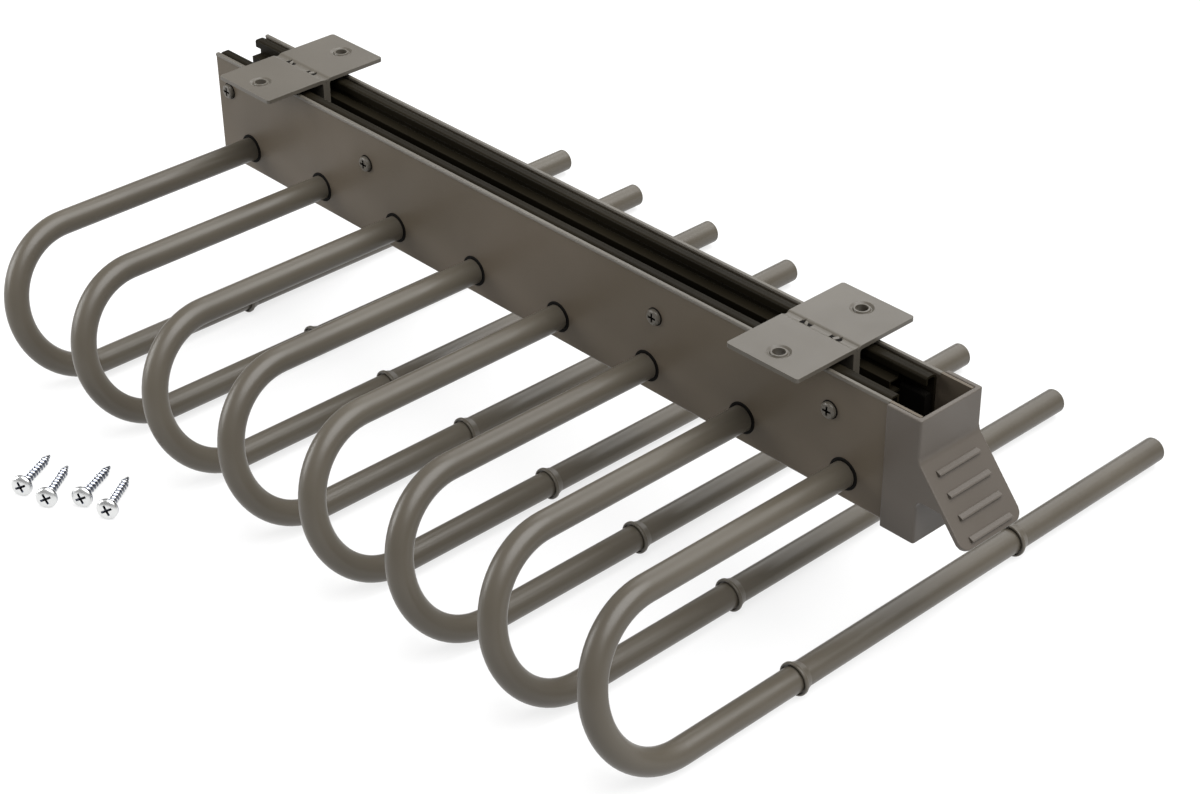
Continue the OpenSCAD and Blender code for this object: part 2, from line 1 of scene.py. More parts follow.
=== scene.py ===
"""The looks of a pull out trouser rack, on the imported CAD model."""
import json
import math

import bmesh
import bpy
from mathutils import Matrix, Vector


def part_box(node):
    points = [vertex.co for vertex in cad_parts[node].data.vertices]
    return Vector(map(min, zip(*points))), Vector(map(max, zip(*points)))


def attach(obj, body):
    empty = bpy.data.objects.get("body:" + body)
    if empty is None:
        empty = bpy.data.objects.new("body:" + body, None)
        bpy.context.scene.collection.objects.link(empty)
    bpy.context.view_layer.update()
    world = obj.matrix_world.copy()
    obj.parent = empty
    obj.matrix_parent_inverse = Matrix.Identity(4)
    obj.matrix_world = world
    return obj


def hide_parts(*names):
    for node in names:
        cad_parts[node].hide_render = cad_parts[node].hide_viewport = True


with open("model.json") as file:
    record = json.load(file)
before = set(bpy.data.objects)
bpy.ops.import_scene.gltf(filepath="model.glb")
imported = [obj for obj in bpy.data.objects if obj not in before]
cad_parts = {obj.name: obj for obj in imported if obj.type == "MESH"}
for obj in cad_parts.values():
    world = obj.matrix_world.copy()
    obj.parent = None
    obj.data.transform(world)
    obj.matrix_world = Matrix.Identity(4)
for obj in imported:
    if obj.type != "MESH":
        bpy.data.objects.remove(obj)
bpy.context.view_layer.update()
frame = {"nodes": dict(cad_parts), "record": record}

# Sizes, in metres

MM = 0.001
FLOOR_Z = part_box("stop_rings")[0][2]
WALL_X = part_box("channel")[1][0]


# Camera, floor and light

CAMERA_AT = Vector((-661.59, -757.61, 531.03)) * MM
CAMERA_RIGHT = Vector((0.730763, -0.682571, -0.009079))
CAMERA_DOWN = Vector((-0.374331, -0.389567, -0.841495))
CAMERA_LENS = 74.985
SENSOR = 36.0
FLOOR_SIZE = 12.0
FLOOR_GLOW = 0.74
ROOM_GLOW = 0.35
SUN_POWER = 5.0
SUN_SPREAD = math.radians(60)
SUN_RAY = Vector((-0.1, 0.45, -1.0))


def add_camera():
    data = bpy.data.cameras.new("camera")
    data.lens = CAMERA_LENS
    data.sensor_width = SENSOR
    data.sensor_fit = "HORIZONTAL"
    data.clip_start = 0.01
    data.clip_end = 50.0
    camera = bpy.data.objects.new("camera", data)
    bpy.context.collection.objects.link(camera)
    right = CAMERA_RIGHT.normalized()
    up = -CAMERA_DOWN.normalized()
    back = right.cross(up).normalized()
    up = back.cross(right).normalized()
    turn = Matrix((right, up, back)).transposed().to_4x4()
    camera.matrix_world = Matrix.Translation(CAMERA_AT) @ turn
    bpy.context.scene.camera = camera


def add_floor():
    """A pale floor that glows a little, so that it stays even and nearly white."""
    bm = bmesh.new()
    bmesh.ops.create_grid(bm, x_segments=8, y_segments=8, size=FLOOR_SIZE / 2)
    bmesh.ops.translate(bm, verts=bm.verts, vec=(0, 0, FLOOR_Z))
    data = bpy.data.meshes.new("floor")
    bm.to_mesh(data)
    bm.free()
    floor = bpy.data.objects.new("floor", data)
    bpy.context.collection.objects.link(floor)
    material, shader = new_material("floor")
    shader.inputs["Base Color"].default_value = (0.2, 0.2, 0.2, 1)
    shader.inputs["Emission Color"].default_value = (1, 1, 1, 1)
    shader.inputs["Emission Strength"].default_value = FLOOR_GLOW
    shader.inputs["Roughness"].default_value = 0.9
    shader.inputs["Specular IOR Level"].default_value = 0.1
    data.materials.append(material)


def add_lamp(name, data, ray):
    """A lamp that shines along a ray."""
    lamp = bpy.data.objects.new(name, data)
    bpy.context.collection.objects.link(lamp)
    lamp.rotation_euler = ray.to_track_quat("-Z", "Y").to_euler()
    return lamp


def add_sun():
    data = bpy.data.lights.new("overhead", "SUN")
    data.energy = SUN_POWER
    data.angle = SUN_SPREAD
    add_lamp("overhead", data, SUN_RAY)


def add_softbox(name, at, towards, width, height, power):
    data = bpy.data.lights.new(name, "AREA")
    data.shape = "RECTANGLE"
    data.size = width
    data.size_y = height
    data.energy = power
    lamp = add_lamp(name, data, Vector(towards) - Vector(at))
    lamp.location = at


def add_light():
    scene = bpy.context.scene
    scene.view_settings.view_transform = "Standard"
    world = bpy.data.worlds.new("studio")
    scene.world = world
    world.use_nodes = True
    back = world.node_tree.nodes["Background"]
    back.inputs["Color"].default_value = (1, 1, 1, 1)
    back.inputs["Strength"].default_value = ROOM_GLOW
    add_sun()
    add_softbox("side softbox", at=(1.65, 0.7, 1.45), towards=(0, 0, -0.05),
                width=2.4, height=2.0, power=32)
    add_softbox("rear softbox", at=(-0.7, 0.75, 0.3), towards=(0, 0.2, -0.03),
                width=0.6, height=0.5, power=7)


# Materials

DRIFT_SCALE = 14.0
DRIFT_LOW = 0.35
DRIFT_HIGH = 0.65
SMUDGE_SCALE = 60.0
SMUDGE_LOW = 0.3
SMUDGE_HIGH = 0.7
SMOOTHER = 0.04
ROUGHER = 0.05
GRAIN_DEPTH = 0.1 * MM


def new_material(name):
    material = bpy.data.materials.new(name)
    material.use_nodes = True
    return material, material.node_tree.nodes["Principled BSDF"]


def add_noise(tree, scale, detail):
    coords = tree.nodes.new("ShaderNodeTexCoord")
    noise = tree.nodes.new("ShaderNodeTexNoise")
    noise.inputs["Scale"].default_value = scale
    noise.inputs["Detail"].default_value = detail
    tree.links.new(coords.outputs["Object"], noise.inputs["Vector"])
    return noise.outputs["Fac"]


def add_tone(tree, source, low, high):
    """A colour that drifts from low to high with a noise."""
    ramp = tree.nodes.new("ShaderNodeValToRGB")
    ramp.color_ramp.elements[0].position = DRIFT_LOW
    ramp.color_ramp.elements[0].color = (*low, 1)
    ramp.color_ramp.elements[1].position = DRIFT_HIGH
    ramp.color_ramp.elements[1].color = (*high, 1)
    tree.links.new(source, ramp.inputs["Fac"])
    return ramp.outputs["Color"]


def add_gloss(tree, source, low, high):
    """A roughness that wanders from low to high with a noise."""
    place = tree.nodes.new("ShaderNodeMapRange")
    place.inputs["From Min"].default_value = SMUDGE_LOW
    place.inputs["From Max"].default_value = SMUDGE_HIGH
    place.inputs["To Min"].default_value = low
    place.inputs["To Max"].default_value = high
    tree.links.new(source, place.inputs["Value"])
    return place.outputs["Result"]


def add_relief(tree, source, strength):
    """A fine relief in step with a noise."""
    relief = tree.nodes.new("ShaderNodeBump")
    relief.inputs["Strength"].default_value = strength
    relief.inputs["Distance"].default_value = GRAIN_DEPTH
    tree.links.new(source, relief.inputs["Height"])
    return relief.outputs["Normal"]


def coated(name, low, high, rough, grain, bump, metal=0.0, specular=0.5):
    """A painted, plated or moulded surface with fine grain, soft tone drift and uneven gloss."""
    material, shader = new_material(name)
    tree = material.node_tree
    tone = add_tone(tree, add_noise(tree, DRIFT_SCALE, detail=2.0), low, high)
    tree.links.new(tone, shader.inputs["Base Color"])
    smudge = add_noise(tree, SMUDGE_SCALE, detail=4.0)
    gloss = add_gloss(tree, smudge, rough - SMOOTHER, rough + ROUGHER)
    tree.links.new(gloss, shader.inputs["Roughness"])
    relief = add_relief(tree, add_noise(tree, grain, detail=2.0), bump)
    tree.links.new(relief, shader.inputs["Normal"])
    shader.inputs["Metallic"].default_value = metal
    shader.inputs["Specular IOR Level"].default_value = specular
    return material


# The channel's sheet: a lighter, less glossy copy of the taupe paint, whose extra lightness is painted
# light on its walls
LIT_CHANNEL_PAINT = coated("channel_paint_painted_light", low=(0.079, 0.0645, 0.047), high=(0.092, 0.075, 0.056),
                     rough=0.4, grain=1500, bump=0.12, specular=0.15)

# The brackets' plates, the beads of the channel's walls and the rail screws
PLATE_PAINT = coated("plate_paint", low=(0.069, 0.061, 0.049), high=(0.081, 0.072, 0.058),
                     rough=0.36, grain=1500, bump=0.12, specular=0.35)

# Painted shade on the loose screws: a darker zinc on the rims of their heads, in their cross recesses and
# in the roots of their threads
PAINTED_SHADE_ZINC = coated("zinc_painted_shade", low=(0.10, 0.11, 0.14), high=(0.18, 0.19, 0.23),
                   rough=0.3, grain=3000, bump=0.1, metal=1.0)

# The material slots of the record
MATERIALS = {
    "taupe_paint": coated("taupe_paint", low=(0.0615, 0.053, 0.0405), high=(0.072, 0.0625, 0.048),
                          rough=0.33, grain=1500, bump=0.12, specular=0.35),
    "taupe_plastic": coated("taupe_plastic", low=(0.064, 0.054, 0.044), high=(0.072, 0.061, 0.050),
                            rough=0.42, grain=2200, bump=0.15, specular=0.35),
    "black_steel": coated("black_steel", low=(0.008, 0.0065, 0.004), high=(0.011, 0.009, 0.0055),
                          rough=0.4, grain=2500, bump=0.1, specular=0.03),
    "zinc_steel": coated("zinc_steel", low=(0.64, 0.65, 0.65), high=(0.74, 0.74, 0.73),
                         rough=0.3, grain=3000, bump=0.1, metal=1.0),
    "black_nylon": coated("black_nylon", low=(0.004, 0.0035, 0.003), high=(0.006, 0.0055, 0.005),
                          rough=0.65, grain=2500, bump=0.1, specular=0.04),
    "black_rubber": coated("black_rubber", low=(0.004, 0.0035, 0.003), high=(0.006, 0.005, 0.004),
                           rough=0.75, grain=3500, bump=0.2, specular=0.03),
}


def slot_of_node(node):
    """The record's material slot of a CAD node."""
    for entry in frame["record"]["subparts"]:
        if entry["node"] == node:
            return entry["material_slot"]
    raise KeyError(node)


def dress_cad_nodes():
    for name, piece in frame["nodes"].items():
        material = MATERIALS[slot_of_node(name)]
        for place in piece.material_slots:
            place.material = material


# Mesh helpers

WELD = 0.002 * MM
FLAT_ANGLE = math.radians(0.5)
SMOOTH_ANGLE = math.radians(35)


def body_of_node(node):
    for body, members in frame["record"]["behaviour"]["bodies"].items():
        if node in members:
            return body
    raise KeyError(node)


def shade(data):
    """Shades a mesh smooth, apart from its sharp edges."""
    data.shade_smooth()
    data.set_sharp_from_angle(angle=SMOOTH_ANGLE)


def new_piece(name, bm, slot, carrier, other_material=None):
    """A mesh piece that rides with a CAD node, in its slot's material or in another material, which may be
    painted light or shade.
    """
    data = bpy.data.meshes.new(name)
    bm.to_mesh(data)
    bm.free()
    data.materials.append(other_material or MATERIALS[slot])
    shade(data)
    piece = bpy.data.objects.new(name, data)
    bpy.context.collection.objects.link(piece)
    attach(piece, body_of_node(carrier))
    return piece


def cad_mesh(node):
    """A CAD node's mesh with its triangles joined into flat faces."""
    bm = bmesh.new()
    bm.from_mesh(frame["nodes"][node].data)
    bmesh.ops.remove_doubles(bm, verts=bm.verts, dist=WELD)
    bmesh.ops.dissolve_limit(bm, angle_limit=FLAT_ANGLE, verts=bm.verts, edges=bm.edges)
    return bm


def apply_modifiers(piece):
    graph = bpy.context.evaluated_depsgraph_get()
    data = bpy.data.meshes.new_from_object(piece.evaluated_get(graph))
    piece.modifiers.clear()
    piece.data = data


def break_edges(piece, width, segments=2, angle=30):
    """Rounds those edges of a piece that turn by more than an angle in degrees."""
    bevel = piece.modifiers.new("edges", "BEVEL")
    bevel.width = width
    bevel.segments = segments
    bevel.limit_method = "ANGLE"
    bevel.angle_limit = math.radians(angle)
    bevel.use_clamp_overlap = True
    weights = piece.modifiers.new("normals", "WEIGHTED_NORMAL")
    weights.keep_sharp = True
    apply_modifiers(piece)


def edged(node, width, segments=2, reshape=None, other_material=None):
    """A copy of a CAD node with its sharp edges broken, which stands for the node."""
    bm = cad_mesh(node)
    if reshape:
        reshape(bm)
    piece = new_piece(node + "_edged", bm, slot_of_node(node), node, other_material)
    break_edges(piece, width, segments)
    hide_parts(node)
    return piece


def add_ring(bm, outline, turn, sides=48):
    """A ring about the Z axis of a matrix, from a closed outline of radius and height."""
    rings = []
    for i in range(sides):
        angle = math.tau * i / sides
        rings.append([bm.verts.new(turn @ Vector((r * math.cos(angle), r * math.sin(angle), h)))
                      for r, h in outline])
    for i in range(sides):
        here, there = rings[i], rings[(i + 1) % sides]
        for k in range(len(outline)):
            n = (k + 1) % len(outline)
            bm.faces.new((here[k], there[k], there[n], here[n]))


def add_prism(bm, outline, start, end, place):
    """Extrudes a closed outline of two coordinates; place(u, v, w) gives each point."""
    near = [bm.verts.new(place(u, v, start)) for u, v in outline]
    far = [bm.verts.new(place(u, v, end)) for u, v in outline]
    for k in range(len(outline)):
        n = (k + 1) % len(outline)
        bm.faces.new((near[k], near[n], far[n], far[k]))
    bm.faces.new(list(reversed(near)))
    bm.faces.new(far)


def tidy_normals(bm):
    bmesh.ops.recalc_face_normals(bm, faces=bm.faces)


# Brackets

HOLE_X = 25.0 * MM
HOLE_Y = 175.0 * MM
HOLE_R = 2.8 * MM
PLATE_T = 2.0 * MM
PLATE_EDGE = 0.35 * MM
COLLAR_DROP = 2.4 * MM
COLLAR_T = 0.9 * MM
COLLAR_LIP = 0.2 * MM
BRACKET_HALF = 20.0 * MM
SEAM_INSET = 0.5 * MM
SEAM_EDGE = 0.12 * MM
CRIMP_Y = 8.2 * MM
CRIMP_HALF = 3.0 * MM
TAB_HALF = 1.4 * MM
TAB_TURN = 0.45  # radians
TAB_EDGE = 0.1 * MM


def along_y(u, v, w):
    """Where a point of a prism lies whose outline goes across and up, and its length to the rear."""
    return Vector((u, w, v))


def add_brackets():
    for node in ("front_bracket_left", "front_bracket_right", "rear_bracket_left", "rear_bracket_right"):
        edged(node, PLATE_EDGE, segments=3, other_material=PLATE_PAINT)


def add_hole_collars():
    """Drawn collars under the flanges, round the shelf screw holes."""
    high = -PLATE_T + COLLAR_LIP
    low = -PLATE_T - COLLAR_DROP
    outline = [(HOLE_R, high), (HOLE_R, low), (HOLE_R + COLLAR_T / 2, low - COLLAR_LIP),
               (HOLE_R + COLLAR_T, low), (HOLE_R + 1.3 * COLLAR_T, high)]
    bm = bmesh.new()
    for x in (-HOLE_X, HOLE_X):
        for y in (-HOLE_Y, HOLE_Y):
            add_ring(bm, outline, Matrix.Translation((x, y, 0)), sides=32)
    tidy_normals(bm)
    new_piece("hole_collars", bm, "taupe_paint", "front_bracket_left", PLATE_PAINT)


def add_seams():
    """A shallow joint where the two webs' bends meet, left open at the crimps."""
    half, deep, top, dip = 1.55 * MM, 1.7 * MM, 0.40 * MM, 0.62 * MM
    outline = [(-half, -top), (-half / 3, -dip), (half / 3, -dip), (half, -top),
               (0.3 * half, -deep), (-0.3 * half, -deep)]
    end = BRACKET_HALF - SEAM_INSET
    stretches = ((-end, -CRIMP_Y - CRIMP_HALF), (-CRIMP_Y + CRIMP_HALF, CRIMP_Y - CRIMP_HALF),
                 (CRIMP_Y + CRIMP_HALF, end))
    bm = bmesh.new()
    for middle in (-HOLE_Y, HOLE_Y):
        for front, rear in stretches:
            add_prism(bm, outline, middle + front, middle + rear, along_y)
    tidy_normals(bm)
    seams = new_piece("bracket_seams", bm, "taupe_paint", "front_bracket_left", PLATE_PAINT)
    break_edges(seams, SEAM_EDGE)


def add_seam_painted_shade():
    """Painted shade in the gap between the webs: a black block that the crimps' notches lay open."""
    half, top, root = 1.4 * MM, 0.8 * MM, 1.75 * MM
    outline = [(-half, -top), (half, -top), (0.3 * half, -root), (-0.3 * half, -root)]
    bm = bmesh.new()
    for bracket in (-HOLE_Y, HOLE_Y):
        for side in (-1, 1):
            middle = bracket + side * CRIMP_Y
            add_prism(bm, outline, middle - CRIMP_HALF, middle + CRIMP_HALF, along_y)
    tidy_normals(bm)
    new_piece("seam_painted_shade", bm, "black_nylon", "front_bracket_left")


def add_crimps():
    """A bent tab across each crimp, with an open notch on both sides of it."""
    half, low, rise, fall, root = 0.75 * MM, 0.7 * MM, 0.12 * MM, 0.4 * MM, 1.5 * MM
    outline = [(-half, -low), (0.35 * half, -rise), (half, -fall), (half, -root), (-half, -root)]
    bm = bmesh.new()
    for bracket in (-HOLE_Y, HOLE_Y):
        for side in (-1, 1):
            middle = Matrix.Translation((0, bracket + side * CRIMP_Y, 0))
            turn = middle @ Matrix.Rotation(side * TAB_TURN, 4, "Z")
            add_prism(bm, outline, -TAB_HALF, TAB_HALF, lambda u, v, w: turn @ Vector((w, u, v)))
    tidy_normals(bm)
    crimps = new_piece("bracket_crimps", bm, "taupe_paint", "front_bracket_left", PLATE_PAINT)
    break_edges(crimps, TAB_EDGE)


# Channel

CHANNEL_EDGE = 0.25 * MM
BEAD_GAP = 0.5 * MM
BEAD_EDGE = 0.08 * MM

# Out from the wall's outer side and up from its edge, in mm: the crown, the outer lip,
# the hollow over the sheet and the inner lip
BEAD_OUTLINE = ((-1.5, 0.08), (0, 0.08), (0.2, -0.2),
                (0.45, -1.1), (0.3, -1.35), (-0.4, -1.35),
                (-0.4, -0.6), (-1.1, -0.6),
                (-1.1, -1.05), (-1.7, -1.05), (-1.8, -0.9), (-1.6, -0.15))


def add_channel():
    # The channel takes the lighter copy of the paint: painted light on its walls
    edged("channel", CHANNEL_EDGE, other_material=LIT_CHANNEL_PAINT)


def add_wall_beads():
    """Rolled beads over the upper edges of the channel's walls, thicker on the outer side."""
    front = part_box("end_cap")[1][1] + BEAD_GAP
    rear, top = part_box("channel")[1][1:]
    bm = bmesh.new()
    for side in (-1, 1):
        add_prism(bm, BEAD_OUTLINE, front, rear,
                  lambda u, v, w: Vector((side * (WALL_X + u * MM), w, top + v * MM)))
    tidy_normals(bm)
    beads = new_piece("wall_beads", bm, slot_of_node("channel"), "channel", PLATE_PAINT)
    break_edges(beads, BEAD_EDGE)


# Rails, their screws and buffers, and the arms' bushes and plugs

FINE_EDGE = 0.15 * MM
SAME_PLANE = 0.02 * MM
RAIL_HEAD_H = 2.2 * MM
RAIL_HEAD_R = 3.75 * MM
RAIL_RECESS = 0.6
RECESS_FLOOR = 0.2 * MM
GAP_SHADE_HOLE_R = 1.0 * MM
GAP_SHADE_R = RAIL_HEAD_R + 0.45 * MM
GAP_SHADE_T = 0.4 * MM
GAP_SHADE_BREAK = 0.15 * MM
ARM_R = 6.0 * MM
ARM_PLAY = 0.05 * MM
RIM_R = 7.45 * MM
RIM_T = 0.55 * MM
RIM_BREAK = 0.3 * MM


def wall_places(node):
    """Middles, in y and z, of a node's separate solids."""
    bm = cad_mesh(node)
    places = []
    left = set(bm.verts)
    while left:
        island = [left.pop()]
        for vert in island:
            for edge in vert.link_edges:
                other = edge.other_vert(vert)
                if other in left:
                    left.remove(other)
                    island.append(other)
        ys = [vert.co.y for vert in island]
        zs = [vert.co.z for vert in island]
        places.append(((min(ys) + max(ys)) / 2, (min(zs) + max(zs)) / 2))
    bm.free()
    return sorted(places)


def on_wall(side, y, z):
    """A matrix whose Z axis points out of the left (-1) or the right (1) wall."""
    turn = Matrix.Rotation(side * math.pi / 2, 4, "Y")
    return Matrix.Translation((side * WALL_X, y, z)) @ turn


def deepen_recess(bm):
    """Sinks the cross recess of the rail screws' heads almost to the wall."""
    floor_x = WALL_X + RAIL_HEAD_H * (1 - RAIL_RECESS)
    for vert in bm.verts:
        if abs(abs(vert.co.x) - floor_x) < SAME_PLANE:
            vert.co.x = math.copysign(WALL_X + RECESS_FLOOR, vert.co.x)


def paint_recess_shade(piece, node):
    """Paints shade into the rail screws' recesses: their insides take the black material."""
    piece.data.materials.append(MATERIALS["black_nylon"])
    places = [Vector(place) for place in wall_places(node)]
    low, high, wide = 0.05 * MM, RAIL_HEAD_H - 0.2 * MM, 0.6 * RAIL_HEAD_R
    for face in piece.data.polygons:
        out = abs(face.center.x) - WALL_X
        reach = min((Vector(face.center.yz) - place).length for place in places)
        if low < out < high and reach < wide:
            face.material_index = 1


def add_rails():
    for node in ("left_outer_rail", "right_outer_rail", "left_middle_rail", "right_middle_rail"):
        edged(node, FINE_EDGE)


def add_rail_screws():
    for node in ("left_rail_screws", "right_rail_screws"):
        screws = edged(node, FINE_EDGE, reshape=deepen_recess, other_material=PLATE_PAINT)
        paint_recess_shade(screws, node)


def add_head_gap_shade():
    """Thin black rings under the rail screws' heads, painted shade of the gap between head and wall."""
    outline = [(GAP_SHADE_HOLE_R, 0), (GAP_SHADE_R, 0), (GAP_SHADE_R, GAP_SHADE_T - GAP_SHADE_BREAK),
               (GAP_SHADE_R - GAP_SHADE_BREAK, GAP_SHADE_T), (GAP_SHADE_HOLE_R, GAP_SHADE_T)]
    bm = bmesh.new()
    for side, node in ((-1, "left_rail_screws"), (1, "right_rail_screws")):
        for y, z in wall_places(node):
            add_ring(bm, outline, on_wall(side, y, z))
    tidy_normals(bm)
    new_piece("head_gap_shade", bm, "black_nylon", "left_rail_screws")


def add_bush_rims():
    """The bushes' outer rims, which lie on the left wall."""
    inner = ARM_R + ARM_PLAY
    outline = [(inner, 0), (RIM_R, 0), (RIM_R, 0.6 * RIM_T), (RIM_R - RIM_BREAK, RIM_T), (inner, RIM_T)]
    bm = bmesh.new()
    for y, z in wall_places("arm_bushes"):
        add_ring(bm, outline, on_wall(-1, y, z), sides=64)
    tidy_normals(bm)
    new_piece("bush_rims", bm, "black_nylon", "arm_bushes")


def add_plugs_and_buffers():
    for node in ("tip_plugs", "rail_buffers"):
        edged(node, FINE_EDGE)


# Loose tapping screws

# The middle of each head's underside, in mm, and the way its shank points, in degrees
LOOSE_AT = ((-215, 118, 34), (-212, 102, 40), (-200, 91, 33), (-197, 75, 39))
LOOSE_LEN = 29.5 * MM
LOOSE_R = 2.4 * MM
LOOSE_CORE_R = 1.6 * MM
LOOSE_TIP_R = 0.7 * MM
LOOSE_POINT = 6.0 * MM
LOOSE_HEAD_R = 5.1 * MM
LOOSE_HEAD_H = 2.6 * MM
HEAD_BREAK = 0.2 * MM
HEAD_EDGE = 0.1 * MM
DOME_START = 0.32
DOME_FLAT = 0.28
DOME_STEPS = 8
SHADED_RIM_BANDS = 2
THREAD_PITCH = 2.6 * MM
THREAD_START = 1.2 * MM
RIDGE_HALF = 0.3
RIDGE_BRIGHT = 0.6
CROSS_SWING = math.radians(65)
CROSS_REACH = 3.2 * MM
CROSS_W = 1.3 * MM
CROSS_TOP = 1.3 * LOOSE_HEAD_H
CROSS_FLOOR = 0.2 * LOOSE_HEAD_H
CROSS_TAPER = 0.55


def ridge_height(along, angle):
    """Height of the thread over its core, from 0 to 1."""
    phase = (along / THREAD_PITCH - angle / math.tau) % 1.0
    return max(0.0, 1.0 - abs(phase - 0.5) / RIDGE_HALF)


def thread_radius(along, angle):
    """Radius of the shank: a sharp ridge that winds round a core, both drawn in at the point."""
    ridge = ridge_height(along, angle) * min(1.0, along / THREAD_START)
    radius = LOOSE_CORE_R + (LOOSE_R - LOOSE_CORE_R) * ridge
    left = LOOSE_LEN - along
    if left > LOOSE_POINT:
        return radius
    return LOOSE_TIP_R + (radius - LOOSE_TIP_R) * left / LOOSE_POINT


def add_circle(bm, turn, along, radii):
    """Points round the X axis of a matrix, one for each radius."""
    circle = []
    for k, r in enumerate(radii):
        angle = math.tau * k / len(radii)
        circle.append(bm.verts.new(turn @ Vector((along, r * math.cos(angle), r * math.sin(angle)))))
    return circle


def join_circles(bm, circles, is_bright):
    """A closed skin over a row of circles; is_bright(i, k) says which faces keep the first material, the
    others take the second, painted shade.
    """
    sides = len(circles[0])
    for i in range(len(circles) - 1):
        near, far = circles[i], circles[i + 1]
        for k in range(sides):
            n = (k + 1) % sides
            face = bm.faces.new((near[k], near[n], far[n], far[k]))
            face.material_index = 0 if is_bright(i, k) else 1
    bm.faces.new(list(reversed(circles[0])))
    bm.faces.new(circles[-1])


def add_thread(bm, turn, sides=28, steps=150):
    """A threaded shank along +X from the head's underside, with painted shade on all but its ridge."""
    circles = []
    for i in range(steps + 1):
        along = LOOSE_LEN * i / steps
        radii = [thread_radius(along, math.tau * k / sides) for k in range(sides)]
        circles.append(add_circle(bm, turn, along, radii))

    def on_ridge(i, k):
        return ridge_height(LOOSE_LEN * (i + 0.5) / steps, math.tau * (k + 0.5) / sides) > RIDGE_BRIGHT

    join_circles(bm, circles, on_ridge)


def head_outline():
    """Radius and height of a pan head's section, from its underside to the flat of its dome."""
    points = [(LOOSE_HEAD_R - HEAD_BREAK, 0), (LOOSE_HEAD_R, HEAD_BREAK)]
    for i in range(DOME_STEPS + 1):
        angle = math.pi / 2 * i / DOME_STEPS
        points.append((LOOSE_HEAD_R * (DOME_FLAT + (1 - DOME_FLAT) * math.cos(angle)),
                       LOOSE_HEAD_H * (DOME_START + (1 - DOME_START) * math.sin(angle))))
    return points


def add_head(bm, turn, sides=40):
    """A pan head along -X, with painted shade on the bands of its rim."""
    circles = [add_circle(bm, turn, -h, [r] * sides) for r, h in head_outline()]
    join_circles(bm, circles, lambda i, k: i >= SHADED_RIM_BANDS)


def add_cross(bm, turn):
    """A cross-shaped cutter that narrows towards its floor."""
    for swing in (0, math.pi / 2):
        here = turn @ Matrix.Rotation(swing, 4, "X")
        corners = []
        for x, share in ((-CROSS_TOP, 1.0), (-CROSS_FLOOR, CROSS_TAPER)):
            reach, half = CROSS_REACH * share, CROSS_W / 2 * share
            for y, z in ((-1, -1), (1, -1), (1, 1), (-1, 1)):
                corners.append(bm.verts.new(here @ Vector((x, y * reach, z * half))))
        bm.faces.new(corners[3::-1])
        bm.faces.new(corners[4:])
        for k in range(4):
            n = (k + 1) % 4
            bm.faces.new((corners[k], corners[n], corners[4 + n], corners[4 + k]))


def loose_turn(x, y, swing):
    """The place of a loose screw, which lies on its head's rim and its shank's end."""
    tilt = math.atan((LOOSE_HEAD_R - LOOSE_R) / (LOOSE_LEN - LOOSE_POINT))
    lift = FLOOR_Z + math.cos(tilt) * LOOSE_HEAD_R
    return (Matrix.Translation((x * MM, y * MM, lift)) @ Matrix.Rotation(math.radians(swing), 4, "Z")
            @ Matrix.Rotation(tilt, 4, "Y"))


def cut_crosses(heads, cutter):
    """Cuts the cross recesses, whose faces take the cutter's painted-shade material."""
    tool = new_piece("cross_cutter", cutter, "zinc_steel", "mounting_screws", PAINTED_SHADE_ZINC)
    cut = heads.modifiers.new("recess", "BOOLEAN")
    cut.operation = "DIFFERENCE"
    cut.solver = "EXACT"
    cut.use_self = True
    cut.material_mode = "TRANSFER"
    cut.object = tool
    apply_modifiers(heads)
    bpy.data.objects.remove(tool)


def join_shanks(heads, shanks):
    """Adds the shanks' mesh to the heads' piece."""
    data = bpy.data.meshes.new("shanks")
    shanks.to_mesh(data)
    shanks.free()
    joined = bmesh.new()
    joined.from_mesh(heads.data)
    joined.from_mesh(data)
    joined.to_mesh(heads.data)
    joined.free()
    shade(heads.data)


def add_loose_screws():
    heads = bmesh.new()
    cutter = bmesh.new()
    shanks = bmesh.new()
    for x, y, swing in LOOSE_AT:
        turn = loose_turn(x, y, swing)
        add_head(heads, turn)
        add_cross(cutter, turn @ Matrix.Rotation(CROSS_SWING, 4, "X"))
        add_thread(shanks, turn)
    for bm in (heads, cutter, shanks):
        tidy_normals(bm)
    screws = new_piece("loose_screws", heads, "zinc_steel", "mounting_screws")
    # The second material: painted shade on the heads' rims, in the recesses and in the thread roots
    screws.data.materials.append(PAINTED_SHADE_ZINC)
    cut_crosses(screws, cutter)
    break_edges(screws, HEAD_EDGE, angle=40)
    join_shanks(screws, shanks)
    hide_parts("mounting_screws")


# End cap

CAP_PLAY = 0.3 * MM
CAP_T = 2.2 * MM
CREASE_DROP = 19.5 * MM
FLAP_SLOPE = math.radians(40)
CREASE = Vector((0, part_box("channel")[0][1] - CAP_PLAY - CAP_T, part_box("end_cap")[1][2] - CREASE_DROP))
FLAP_OUT = Vector((0, -math.cos(FLAP_SLOPE), math.sin(FLAP_SLOPE)))
FLAP_UP = Vector((0, math.sin(FLAP_SLOPE), math.cos(FLAP_SLOPE)))
CREASE_R = 4.0 * MM
CREASE_STEPS = 8
RIB_COUNT = 4
RIB_PITCH = 9.7 * MM
RIB_START = 7.3 * MM
RIB_LOW = 0.35 * MM
RIB_H = 1.5 * MM
RIB_W = 2.6 * MM
RIB_HALF = 12.5 * MM
RIB_EDGE = 0.2 * MM
BELOW_CREASE = 1 * MM
SKIN_VOXEL = 0.3 * MM
SKIN_ROUNDS = 12
SKIN_KEEP = 0.45


def drop_ribs(bm):
    """Presses the CAD ribs flat on the flap, for separate ones with sharper edges."""
    for vert in bm.verts:
        place = vert.co - CREASE
        if place.dot(FLAP_OUT) > SAME_PLANE and place.dot(FLAP_UP) < -BELOW_CREASE:
            vert.co -= FLAP_OUT * place.dot(FLAP_OUT)


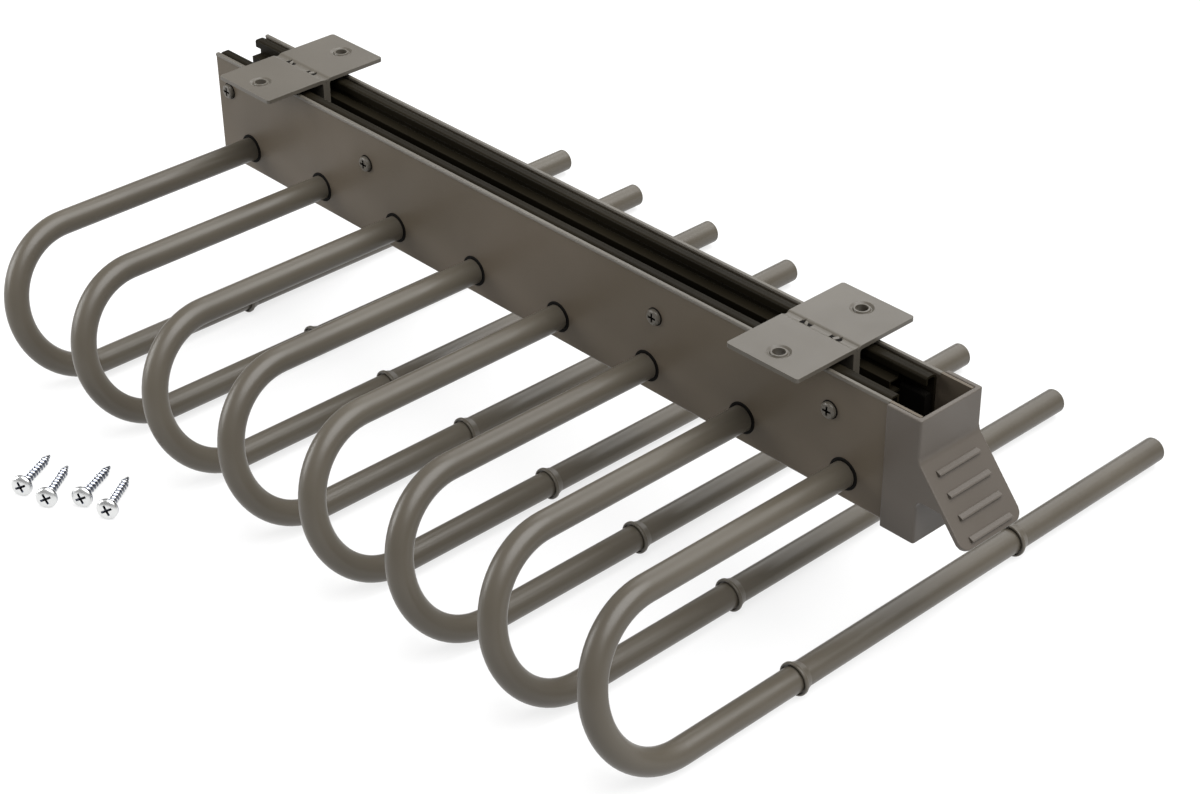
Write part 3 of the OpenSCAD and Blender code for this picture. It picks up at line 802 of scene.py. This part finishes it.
def add_crease_fillet(bm):
    """Fills the crease between the cap's front and its flap with a hollow curve."""
    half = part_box("end_cap")[1][0]
    reach = CREASE_R * math.tan(FLAP_SLOPE / 2)
    centre = CREASE + Vector((0, -CREASE_R, reach))
    outline = []
    for i in range(CREASE_STEPS + 1):
        angle = FLAP_SLOPE * i / CREASE_STEPS
        outline.append((centre.y + CREASE_R * math.cos(angle), centre.z - CREASE_R * math.sin(angle)))
    sunk = CREASE - FLAP_UP * reach - FLAP_OUT * CAP_T / 2
    outline.append((sunk.y, sunk.z))
    outline.append((CREASE.y + CAP_T / 2, CREASE.z))
    outline.append((CREASE.y + CAP_T / 2, CREASE.z + reach))
    add_prism(bm, outline, -half, half, lambda u, v, w: Vector((w, u, v)))


def add_end_cap():
    """The cap as one moulding: its edges and corners rounded, and a hollow curve at its crease."""
    bm = cad_mesh("end_cap")
    drop_ribs(bm)
    add_crease_fillet(bm)
    tidy_normals(bm)
    cap = new_piece("end_cap_moulding", bm, "taupe_plastic", "end_cap")
    skin = cap.modifiers.new("skin", "REMESH")
    skin.mode = "VOXEL"
    skin.voxel_size = SKIN_VOXEL
    smooth = cap.modifiers.new("mould", "SMOOTH")
    smooth.factor = 0.5
    smooth.iterations = SKIN_ROUNDS
    lean = cap.modifiers.new("lean", "DECIMATE")
    lean.ratio = SKIN_KEEP
    apply_modifiers(cap)
    cap.data.shade_smooth()
    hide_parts("end_cap")


def add_grip_ribs():
    """Grip ribs across the flap, which rise towards their lower edges."""
    outline = [(0, -RIB_LOW), (RIB_W, -RIB_LOW), (RIB_W, RIB_H), (0.7 * RIB_W, RIB_H), (0, RIB_LOW)]
    bm = bmesh.new()
    for k in range(RIB_COUNT):
        top = CREASE + FLAP_UP * (RIB_W / 2 - RIB_START - k * RIB_PITCH)
        add_prism(bm, outline, -RIB_HALF, RIB_HALF,
                  lambda u, v, w: top + Vector((w, 0, 0)) + FLAP_OUT * v - FLAP_UP * u)
    tidy_normals(bm)
    ribs = new_piece("grip_ribs", bm, "taupe_plastic", "end_cap")
    break_edges(ribs, RIB_EDGE, segments=3)


# The whole scene

add_brackets()
add_hole_collars()
add_seams()
add_seam_painted_shade()
add_crimps()
add_wall_beads()
add_head_gap_shade()
add_bush_rims()
add_loose_screws()
add_channel()
add_rails()
add_rail_screws()
add_plugs_and_buffers()
add_end_cap()
add_grip_ribs()
add_camera()
add_floor()
add_light()
dress_cad_nodes()
